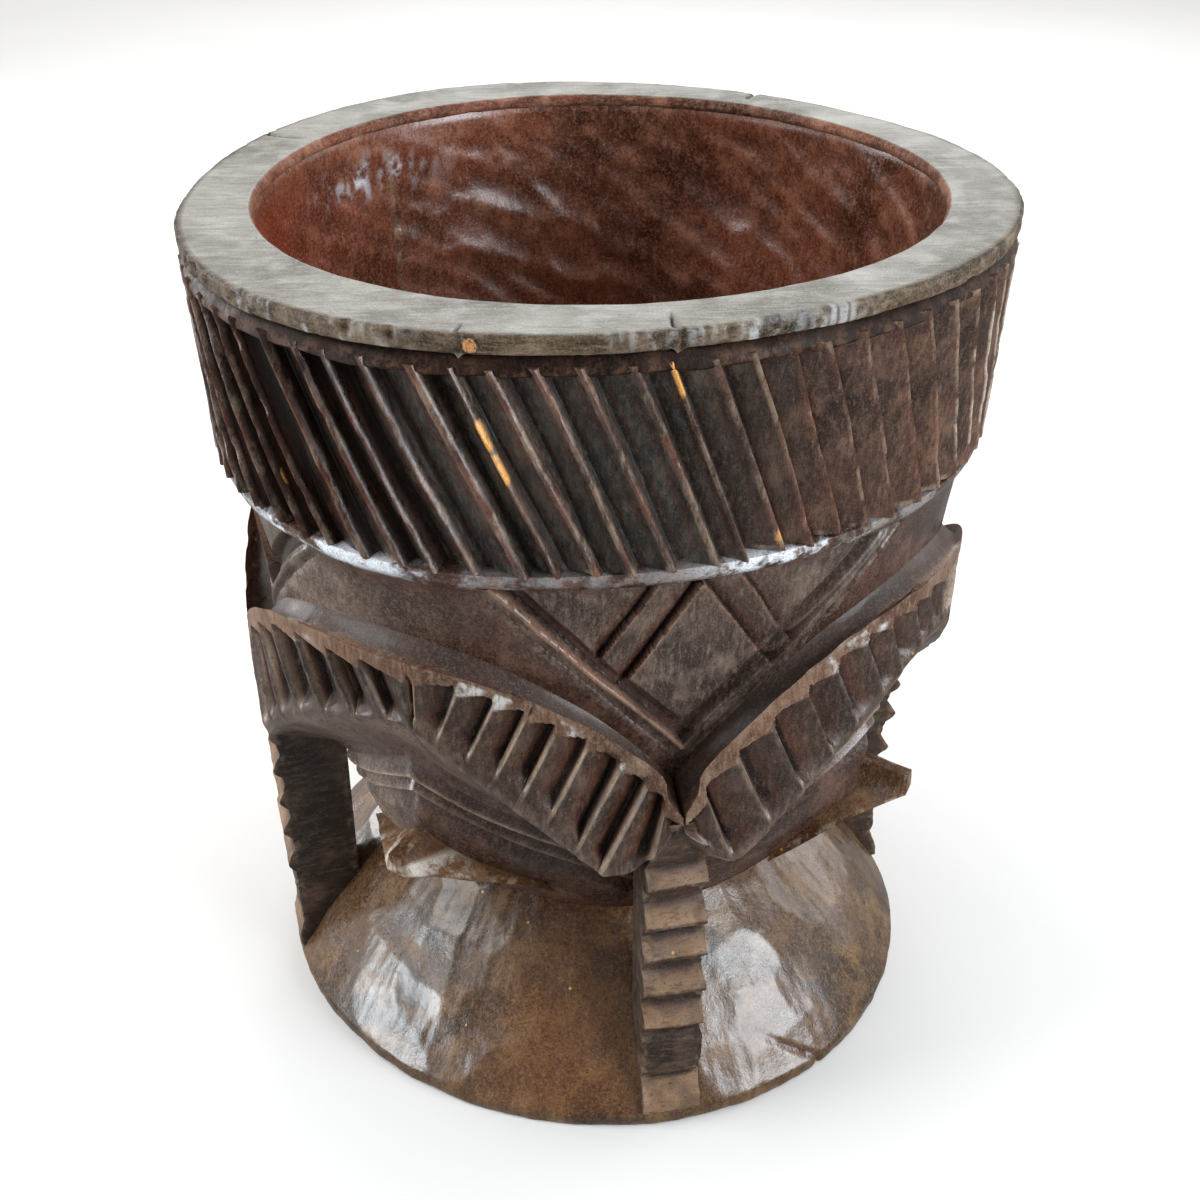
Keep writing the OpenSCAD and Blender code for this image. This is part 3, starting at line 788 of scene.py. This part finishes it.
def make_leg(k):
    """Leg k: sawtooth steps down its face, then a plain shelf and a bevel onto the foot."""
    top, foot = 204 * MM, 10 * MM
    steps_top = 176 * MM
    shelf = steps_top - LEG_STEPS * LEG_PITCH
    stops = [(top, 0.6)]
    for i in range(LEG_STEPS):
        z0 = steps_top - (i + 0.12 * (chance(i, k, 2) - 0.5)) * LEG_PITCH
        stops += [(z0, 1.0), (z0 - 0.18 * LEG_PITCH, 0.55), (z0 - 0.42 * LEG_PITCH, 0.0)]
        stops += [(z0 - 0.54 * LEG_PITCH, 0.08), (z0 - 0.68 * LEG_PITCH, 0.85)]
    stops += [(shelf, 0.95), (shelf - 2 * MM, 0.55), (shelf - 26 * MM, 0.5), (shelf - 30 * MM, 0.75)]
    stops += [(17 * MM, -0.1), (foot, -0.1)]
    stops = np.array(stops)[::-1]
    z = np.linspace(foot, top, 150)
    dent = np.interp(z, stops[:, 0], stops[:, 1])
    half = LEG_W / 2
    taper = 3.5 * MM
    section = [(1.0, y * half) for y in np.linspace(-1, 1, 17)]
    section += [(x, half - taper * (1 - x) ** 2) for x in np.linspace(1, 0, 14)[1:]]
    section += [(0.0, y * (half - taper)) for y in np.linspace(1, -1, 12)[1:]]
    section += [(x, -half + taper * (1 - x) ** 2) for x in np.linspace(0, 1, 14)[1:-1]]
    share, y = np.array(section).T[:, :, None]
    zz = z[None, :] + 0 * share
    outer = LEG_FOOT_R + (LEG_TOP_R - LEG_FOOT_R) * zz / steps_top
    outer = outer - LEG_STEP_DEPTH * LEG_WORN[k] * dent[None, :]
    outer = outer + 3.5 * MM * smooth(zz, steps_top - 4 * MM, steps_top + 4 * MM)
    r = LEG_IN + (outer - LEG_IN) * share
    tilt = 1.2 * MM * (y / half) * (chance(np.round(zz / LEG_PITCH), k, 6) - 0.5)
    local = joined(r, y, zz)
    bump = 0.8 * MM * noise(local, 18 * MM, 3 + k) + 0.35 * MM * noise(local, 6 * MM, 5 + k)
    bump = bump + 0.35 * MM * noise(local * np.array([1, 0.1, 1]), 2.2 * MM, 9 + k) * (share > 0.99)
    roof = np.where(zz > steps_top, (zz - steps_top), 0)
    yy = y * (1 - 0.55 * np.clip(roof / (28 * MM), 0, 1)) + bump * np.sign(y) * (np.abs(y) > 0.9 * half)
    rr = r + (bump + tilt) * share
    az = LEG_AZ + QUARTER * k + np.degrees(np.arctan2(yy, rr))
    points = place(az, np.hypot(rr, yy), zz)
    # Painted light: crest marks the upward facing faces of the steps, which the finish paints lighter,
    # and the plain face below the shelf
    face = (share > 0.99) * (zz > shelf)
    out = np.gradient(dent, z)
    crest = face * (1 - np.clip(dent, 0, 1) ** 2)[None, :] * smooth(out, -5, 15)[None, :]
    crest = np.maximum(crest, (share > 0.99) * smooth(-zz, -(shelf - 26 * MM), -(shelf - 32 * MM)))
    return skin(f"leg_{k + 1}_steps", points, close_u=True, caps=("v0", "v1"), marks={"crest": crest})


def make_lug(k):
    """Lug k: a beak whose wide side faces run back into the body's lower corner."""
    s = np.linspace(0, 1, 40)[None, :]
    x = 132 * MM + (LUG_TIP_R - 132 * MM) * s
    tip_z = LUG_TIP_Z[k] * MM
    low = tip_z - 24 * MM * (1 - s) ** 1.2
    half_low = 5.5 * MM + (LUG_TIP_R - x) * 0.98
    high = tip_z + 11 * MM + 8 * MM * (1 - s)
    half_top = 3.5 * MM + 0 * s
    share = np.linspace(0, 1, 16)
    down, up = share[:-1], share[:0:-1]

    def wall(f, sign):
        """A place of the hollowed side wall, f of the way from its top to the wide bottom."""
        scoop = 5 * MM * np.sin(math.pi * f) * (1 - s)
        y = half_top + (half_low - half_top) * f - scoop
        return sign * y, high + (low - high) * f - 0.4 * scoop

    ring = [(f * half_top, high + 0 * s) for f in np.linspace(-1, 1, 5)[:-1]]
    ring += [wall(f, 1) for f in down]
    ring += [(f * half_low, low + 0 * s) for f in np.linspace(1, -1, 12)[:-1]]
    ring += [wall(f, -1) for f in up]
    y, z = (np.concatenate(part) for part in zip(*ring))
    x = x + 0 * y
    local = joined(x, y, z)
    x = x + 0.7 * MM * noise(local, 12 * MM, 4 + k)
    z = z + 0.8 * MM * noise(local, 16 * MM, 6 + k)
    az = LEG_AZ + HALF + QUARTER * k + LUG_TURN[k] + np.degrees(np.arctan2(y, x))
    points = place(az, np.hypot(x, y), z)
    # Painted light: the lower side facets get a pale highlight, as bright as LUG_BRIGHT says, and the
    # rest painted shade, as dark as LUG_DIM says
    facet = np.zeros(len(y))
    facet[4:19], facet[30:] = down, up
    facet = LUG_BRIGHT[k] * smooth(facet, 0.4, 0.55)[:, None] * smooth(s, 0.35, 0.6)
    facet = facet * (1 - 0.6 * smooth(s, 0.93, 0.97))
    marks = {"ledge": facet, "dim": LUG_DIM[k] * (1 - facet)}
    return skin(f"lug_{k + 1}_beak", points, close_u=True, caps=("v0", "v1"), marks=marks)


# ---- materials
def tone(red, green, blue):
    """A linear colour from ordinary 0..255 screen values."""
    values = [c / 255 for c in (red, green, blue)]
    return (*[v / 12.92 if v <= 0.04045 else ((v + 0.055) / 1.055) ** 2.4 for v in values], 1.0)


class Finish:
    """Writes a material as a few expressions on the piece's own coordinates and marks."""

    def __init__(self, name):
        self.material = bpy.data.materials.new(name)
        self.material.use_nodes = True
        self.nodes = self.material.node_tree.nodes
        self.links = self.material.node_tree.links
        self.shader = self.nodes["Principled BSDF"]
        self.here = self.nodes.new("ShaderNodeTexCoord").outputs["Object"]

    def feed(self, socket, value):
        if isinstance(value, bpy.types.NodeSocket):
            self.links.new(value, socket)
        else:
            socket.default_value = value

    def calc(self, operation, a, b=0.0, c=None):
        made = self.nodes.new("ShaderNodeMath")
        made.operation = operation
        self.feed(made.inputs[0], a)
        self.feed(made.inputs[1], b)
        if c is not None:
            self.feed(made.inputs[2], c)
        return made.outputs[0]

    def times(self, a, b):
        return self.calc("MULTIPLY", a, b)

    def span(self, value, lo, hi, start=0.0, end=1.0):
        made = self.nodes.new("ShaderNodeMapRange")
        made.interpolation_type = "SMOOTHSTEP"
        for socket, number in zip(made.inputs, (value, lo, hi, start, end)):
            self.feed(socket, number)
        return made.outputs["Result"]

    def grain(self, size, stretch=(1, 1, 1), detail=3.0, seed=0.0, roughness=0.55, bend=0.0):
        """Noise whose features are about size across, longer along an axis with a stretch under 1."""
        move = self.nodes.new("ShaderNodeMapping")
        self.feed(move.inputs["Vector"], self.here)
        move.inputs["Location"].default_value = (seed, 1.7 * seed, 0.6 * seed)
        move.inputs["Scale"].default_value = stretch
        made = self.nodes.new("ShaderNodeTexNoise")
        self.feed(made.inputs["Vector"], move.outputs[0])
        made.inputs["Scale"].default_value = 1 / size
        made.inputs["Detail"].default_value = detail
        made.inputs["Roughness"].default_value = roughness
        made.inputs["Distortion"].default_value = bend
        return made.outputs["Fac"]

    def dots(self, spacing, size, seed=0.0):
        """1 inside small round dots, 0 outside."""
        move = self.nodes.new("ShaderNodeMapping")
        self.feed(move.inputs["Vector"], self.here)
        move.inputs["Location"].default_value = (seed, seed, seed)
        made = self.nodes.new("ShaderNodeTexVoronoi")
        self.feed(made.inputs["Vector"], move.outputs[0])
        made.inputs["Scale"].default_value = 1 / spacing
        reach = size / spacing
        return self.span(made.outputs["Distance"], 0.5 * reach, reach, 1.0, 0.0)

    def mix(self, share, a, b):
        made = self.nodes.new("ShaderNodeMix")
        made.data_type = "RGBA"
        self.feed(made.inputs[0], share)
        self.feed(made.inputs[6], a)
        self.feed(made.inputs[7], b)
        return made.outputs[2]

    def lay(self, share, paint):
        """Paints over the colour so far."""
        self.colour = self.mix(share, self.colour, paint)

    def mark(self, name):
        made = self.nodes.new("ShaderNodeAttribute")
        made.attribute_name = name
        return made.outputs["Fac"]

    def relief(self, *layers):
        """Bumps from (height, depth in metres) layers."""
        for socket, share in (("Normal", 1.0), ("Coat Normal", 0.3)):
            normal = None
            for height, depth in layers:
                made = self.nodes.new("ShaderNodeBump")
                made.inputs["Distance"].default_value = share * depth
                self.feed(made.inputs["Height"], height)
                if normal is not None:
                    self.feed(made.inputs["Normal"], normal)
                normal = made.outputs[0]
            self.feed(self.shader.inputs[socket], normal)

    def finish(self, colour, roughness, coat, specular=0.4):
        self.shader.inputs["Specular IOR Level"].default_value = specular
        self.feed(self.shader.inputs["Base Color"], colour)
        self.feed(self.shader.inputs["Roughness"], roughness)
        self.shader.inputs["Coat Weight"].default_value = coat
        self.shader.inputs["Coat Roughness"].default_value = 0.2
        return self.material


UPRIGHT = (1, 1, 0.1)
ACROSS = (0.12, 1, 1)
# Dark colour for knot rings and dark dots, and for painted shade in corners
DARK_SPOTS_AND_SHADE = tone(17, 11, 8)
WARM = tone(84, 40, 22)
BARE = tone(222, 158, 78)
KNOT = tone(196, 132, 74)
SHADE = tone(26, 14, 10)


def wood(name, palette, worn, wear=0.6, crest=None, inside=None, side=None, gloss=0.36, seed=0.0,
         coat=0.15, specks=0.0, along=UPRIGHT, bare=0.0, warmth=0.7, sheen_tone=None, amber=None,
         knot=False, rub_along=(1, 1, 1), fleck_along=(1, 1, 0.3), specular=0.4):
    """An oiled carved wood: blotches, upright grain, worn edges, gloss, painted shade in the corners and
    where marked, painted sheen where marked.

    palette is (dark, middle, light). inside and side are palettes used where those marks are set.
    """
    f = Finish(name)
    blotch = f.span(f.grain(60 * MM, detail=4, seed=seed), 0.36, 0.62)
    cloud = f.grain(19 * MM, detail=5, seed=seed + 2)
    streak = f.grain(3.2 * MM, stretch=along, detail=4, seed=seed + 4, bend=0.3)
    fine = f.grain(0.9 * MM, detail=3, seed=seed + 6, roughness=0.7)
    dark, middle, light = palette
    for zone, other in (("inside", inside), ("side", side)):
        if other:
            here = f.mark(zone)
            dark, middle, light = (f.mix(here, a, b) for a, b in zip((dark, middle, light), other))
    f.colour = f.mix(blotch, dark, middle)
    f.lay(f.span(cloud, 0.45, 0.72, 0, 0.7), light)

    def shades(layer, high, lighter, low, darker):
        """Lightens and darkens the colour by a layer of grain."""
        f.lay(f.span(layer, 0.5, high, 0, lighter), light)
        f.lay(f.span(layer, 0.5, low, 0, darker), dark)

    shades(streak, 0.8, 0.55, 0.25, 0.6)
    if crest:
        f.lay(f.times(f.mark("crest"), f.span(cloud, 0.3, 0.6, 0.3, 1.0)), crest)
    pit = f.mark("pit")
    glow = f.times(f.span(cloud, 0.35, 0.6, 0.35, 1.0), warmth)
    deep = f.calc("MAXIMUM", f.mark("warm"), f.span(pit, 0.02, 0.4))
    f.lay(f.times(deep, glow), WARM)
    # Painted shade: darker in concave corners and grooves
    f.lay(f.span(pit, 0.15, 0.8, 0, 0.93), DARK_SPOTS_AND_SHADE)
    if amber:
        f.lay(f.times(f.mark("amber"), f.span(cloud, 0.3, 0.62, 0.6, 1.0)), amber)
    if knot:
        eye = f.mark("knot")
        f.lay(f.span(eye, 0.1, 0.3), DARK_SPOTS_AND_SHADE)
        f.lay(f.times(f.span(eye, 0.35, 0.5), f.span(fine, 0.35, 0.5)), KNOT)
    # Painted sheen: pale highlight patches where the piece marks them
    if sheen_tone:
        shine = f.span(f.grain(30 * MM, detail=5, seed=seed + 12, roughness=0.7), 0.42, 0.54)
        f.lay(f.times(f.mark("ledge"), shine), sheen_tone)
    dim = f.mark("dim")
    f.lay(f.times(dim, 0.8), SHADE)
    edge = f.mark("edge")
    broken = f.grain(7 * MM, stretch=rub_along, detail=6, seed=seed + 8, roughness=0.7)
    rub = f.times(f.span(edge, 0.4, 1.0), f.span(broken, 0.47, 0.62))
    f.lay(f.times(rub, wear), worn)
    if bare:
        chip = f.span(f.grain(16 * MM, stretch=(1, 1, 0.4), detail=3, seed=seed + 9), 0.71, 0.73)
        chip = f.times(chip, f.span(edge, 0.3, 0.7, 0, bare))
        f.lay(f.calc("MAXIMUM", chip, f.mark("chip")), BARE)
    fleck = f.grain(1.9 * MM, stretch=fleck_along, detail=3, seed=seed + 7, roughness=0.75)
    shades(fleck, 0.72, 0.6, 0.28, 0.6)
    shades(fine, 0.7, 0.5, 0.3, 0.6)
    if specks:
        f.lay(f.times(f.dots(26 * MM, 1.0 * MM, seed), specks), BARE)
        f.lay(f.times(f.dots(8 * MM, 0.6 * MM, seed + 3), specks), DARK_SPOTS_AND_SHADE)
    patchy = f.span(f.grain(28 * MM, detail=4, seed=seed + 11), 0.35, 0.65, 0.1, -0.08)
    grit = f.span(fleck, 0.3, 0.7, -0.1, 0.12)
    roughness = f.calc("ADD", f.calc("ADD", patchy, grit), gloss)
    roughness = f.calc("ADD", roughness, f.span(pit, 0.1, 0.8, 0, 0.3))
    roughness = f.calc("ADD", roughness, f.times(dim, 0.3))
    f.relief((streak, 0.25 * MM), (cloud, 0.5 * MM), (fleck, 0.22 * MM), (fine, 0.09 * MM))
    return f.finish(f.colour, roughness, coat, specular)


foot_wood = wood(
    "foot_wood", (tone(33, 20, 11), tone(75, 47, 24), tone(122, 92, 56)), tone(160, 142, 118),
    wear=0.2, gloss=0.34, seed=1.0, coat=0.65, specks=1.0, fleck_along=(1, 1, 1),
    amber=tone(112, 60, 22),
)
dark_wood = wood(
    "dark_wood", (tone(34, 22, 15), tone(54, 38, 28), tone(88, 67, 52)), tone(140, 116, 96),
    wear=0.45, crest=tone(128, 98, 74), gloss=0.38, seed=2.0, specks=0.5, bare=0.9, coat=0.15,
)
leg_wood = wood(
    "leg_wood", (tone(28, 18, 12), tone(50, 36, 27), tone(92, 72, 56)), tone(150, 128, 106),
    wear=0.4, crest=tone(136, 106, 79), gloss=0.42, seed=9.0, specks=0.5, bare=0.9, coat=0.12,
    fleck_along=(0.3, 0.3, 1), along=(0.15, 0.15, 1),
)
arch_wood = wood(
    "arch_wood", (tone(30, 20, 14), tone(62, 46, 36), tone(98, 80, 67)), tone(150, 130, 112),
    wear=0.25, crest=tone(146, 124, 104), gloss=0.38, seed=2.0, specks=0.4, bare=0.9, coat=0.15,
    side=(tone(66, 40, 25), tone(100, 70, 50), tone(136, 112, 92)), sheen_tone=tone(180, 178, 174),
    warmth=1.0,
    inside=(tone(60, 46, 38), tone(88, 72, 62), tone(120, 102, 90)),
)
# flute_wood: the side palette is a lit copy for the right, the near black inside palette a shaded copy
# for the left
flute_wood = wood(
    "flute_wood", (tone(25, 22, 18), tone(50, 46, 41), tone(86, 81, 73)), tone(152, 132, 112),
    wear=0.5, crest=tone(106, 60, 42), gloss=0.34, seed=3.0, bare=1.0, coat=0.15, rub_along=(1, 1, 0.3),
    side=(tone(32, 20, 15), tone(64, 44, 34), tone(110, 80, 62)), sheen_tone=tone(178, 166, 150),
    inside=(tone(10, 6, 4), tone(21, 13, 8), tone(46, 31, 21)),
)
# body_wood: the side palette paints light on the left of the body; the sheen tone paints pale highlights
body_wood = wood(
    "body_wood", (tone(32, 18, 12), tone(61, 39, 30), tone(100, 74, 61)), tone(150, 136, 124),
    wear=0.3, gloss=0.28, seed=4.0, coat=0.35, sheen_tone=tone(226, 232, 238), crest=tone(166, 142, 120),
    inside=(tone(48, 24, 17), tone(117, 66, 47), tone(158, 108, 84)), amber=tone(110, 34, 10),
    along=(1, 1, 0.4), fleck_along=(1, 1, 1),
    side=(tone(78, 62, 52), tone(128, 110, 97), tone(168, 152, 138)),
)
panel_wood = wood(
    "panel_wood", (tone(43, 30, 23), tone(75, 59, 50), tone(114, 98, 86)), tone(140, 112, 94),
    wear=0.3, crest=tone(132, 98, 80), gloss=0.33, seed=8.0, coat=0.2,
)
lip_wood = wood(
    "lip_wood", (tone(100, 97, 89), tone(142, 140, 133), tone(168, 166, 160)), tone(140, 130, 114),
    wear=0.3, gloss=0.5, seed=5.0, coat=0.0, along=ACROSS, warmth=0.2, knot=True, specular=0.15,
    inside=(tone(54, 26, 18), tone(112, 60, 41), tone(168, 122, 98)), fleck_along=(0.2, 1, 1),
    side=(tone(32, 25, 18), tone(72, 58, 44), tone(126, 108, 88)), sheen_tone=tone(200, 206, 208),
)
collar_wood = wood(
    "collar_wood", (tone(16, 9, 6), tone(32, 19, 13), tone(62, 41, 30)), tone(130, 94, 70),
    wear=0.3, gloss=0.5, seed=6.0, coat=0.0, specular=0.12,
)
lug_wood = wood(
    "lug_wood", (tone(52, 31, 16), tone(92, 59, 32), tone(130, 96, 64)), tone(200, 184, 160),
    wear=0.4, gloss=0.36, seed=7.0, specks=0.6, sheen_tone=tone(190, 180, 168), specular=0.25,
)

# ---- the vessel
carve(make_foot(), "foot", foot_wood)
carve(make_neck(), "neck", dark_wood)
carve(make_bowl(), "bowl", body_wood)
carve(make_rim(), "rim", lip_wood)
carve(make_collar(), "collar", collar_wood)
carve(make_flutes(), "flute_band", flute_wood)
for k in range(4):
    carve(make_panel(k), f"panel_{k + 1}", panel_wood)
    carve(make_arch(k), f"arch_{k + 1}", arch_wood)
    carve(make_leg(k), f"leg_{k + 1}", leg_wood)
    carve(make_lug(k), f"lug_{k + 1}", lug_wood)


# ---- floor, light and camera
def make_floor():
    """A wide plain pale floor."""
    x = np.linspace(-9, 9, 4)[:, None]
    floor = skin("floor", joined(x, np.linspace(-6, 12, 4)[None, :], 0.0))
    f = Finish("floor_paper")
    shade = f.grain(400 * MM, detail=2)
    colour = f.mix(f.span(shade, 0.2, 0.8), tone(209, 208, 206), tone(213, 212, 210))
    floor.data.materials.append(f.finish(colour, 0.9, coat=0.0))
    floor.visible_glossy = False


def add_light(name, at, aim, size, power, colour=(1, 1, 1)):
    """A soft rectangular light."""
    data = bpy.data.lights.new(name, "AREA")
    data.shape = "RECTANGLE"
    data.size, data.size_y = size
    data.energy = power
    data.color = colour
    light = bpy.data.objects.new(name, data)
    light.location = at
    light.rotation_euler = (Vector(aim) - Vector(at)).to_track_quat("-Z", "Y").to_euler()
    bpy.context.scene.collection.objects.link(light)


def make_camera():
    """A camera above the front, as a standing person sees the vessel on the floor."""
    pitch, yaw, roll = 0.546, 0.0061, -0.0062
    ahead = Vector((math.sin(yaw) * math.cos(pitch), math.cos(yaw) * math.cos(pitch), -math.sin(pitch)))
    right = Vector((math.cos(yaw), -math.sin(yaw), 0))
    up = right.cross(ahead)
    side = right * math.cos(roll) + up * math.sin(roll)
    top = up * math.cos(roll) - right * math.sin(roll)
    data = bpy.data.cameras.new("camera")
    data.angle = math.radians(40.763)
    camera = bpy.data.objects.new("camera", data)
    camera.matrix_world = Matrix((
        (side.x, top.x, -ahead.x, 0.0),
        (side.y, top.y, -ahead.y, -0.77884),
        (side.z, top.z, -ahead.z, 0.69204),
        (0, 0, 0, 1),
    ))
    bpy.context.scene.collection.objects.link(camera)
    bpy.context.scene.camera = camera


def add_sky(direction, spread, strength):
    """One very wide soft source overhead, even over the whole floor."""
    data = bpy.data.lights.new("sky", "SUN")
    data.angle = math.radians(spread)
    data.energy = strength
    light = bpy.data.objects.new("sky", data)
    light.rotation_euler = Vector(direction).to_track_quat("Z", "Y").to_euler()
    bpy.context.scene.collection.objects.link(light)


make_floor()
add_sky((0.25, 0.4, 1.0), 75, 1.95)
add_light("window_left", (-2.0, -0.6, 0.35), (-0.1, -0.1, 0.1), (0.9, 0.5), 27, (0.84, 0.93, 1.0))
add_light("high_left", (-1.7, -0.2, 1.7), (0, 0, 0.25), (1.2, 1.2), 32)
add_light("window_right", (1.7, -1.1, 0.9), (0.1, -0.1, 0.1), (1.1, 1.1), 54, (0.88, 0.94, 1.0))
add_light("left_back", (-1.8, 1.1, 0.6), (0, 0, 0.25), (1.0, 1.0), 28)
add_light("right_back", (1.9, 0.9, 0.6), (0, 0, 0.25), (1.0, 1.0), 9)
add_light("back", (0.4, 2.4, 1.2), (0, 0, 0.2), (1.8, 1.0), 14)
add_light("far_floor", (0.0, 3.4, 2.2), (0.0, 3.5, 0.0), (3.0, 1.5), 26)
world = bpy.data.worlds.new("studio")
world.use_nodes = True
world.node_tree.nodes["Background"].inputs["Color"].default_value = (1, 1, 1, 1)
world.node_tree.nodes["Background"].inputs["Strength"].default_value = 0.29
bpy.context.scene.world = world
bpy.context.scene.view_settings.view_transform = "Standard"
make_camera()
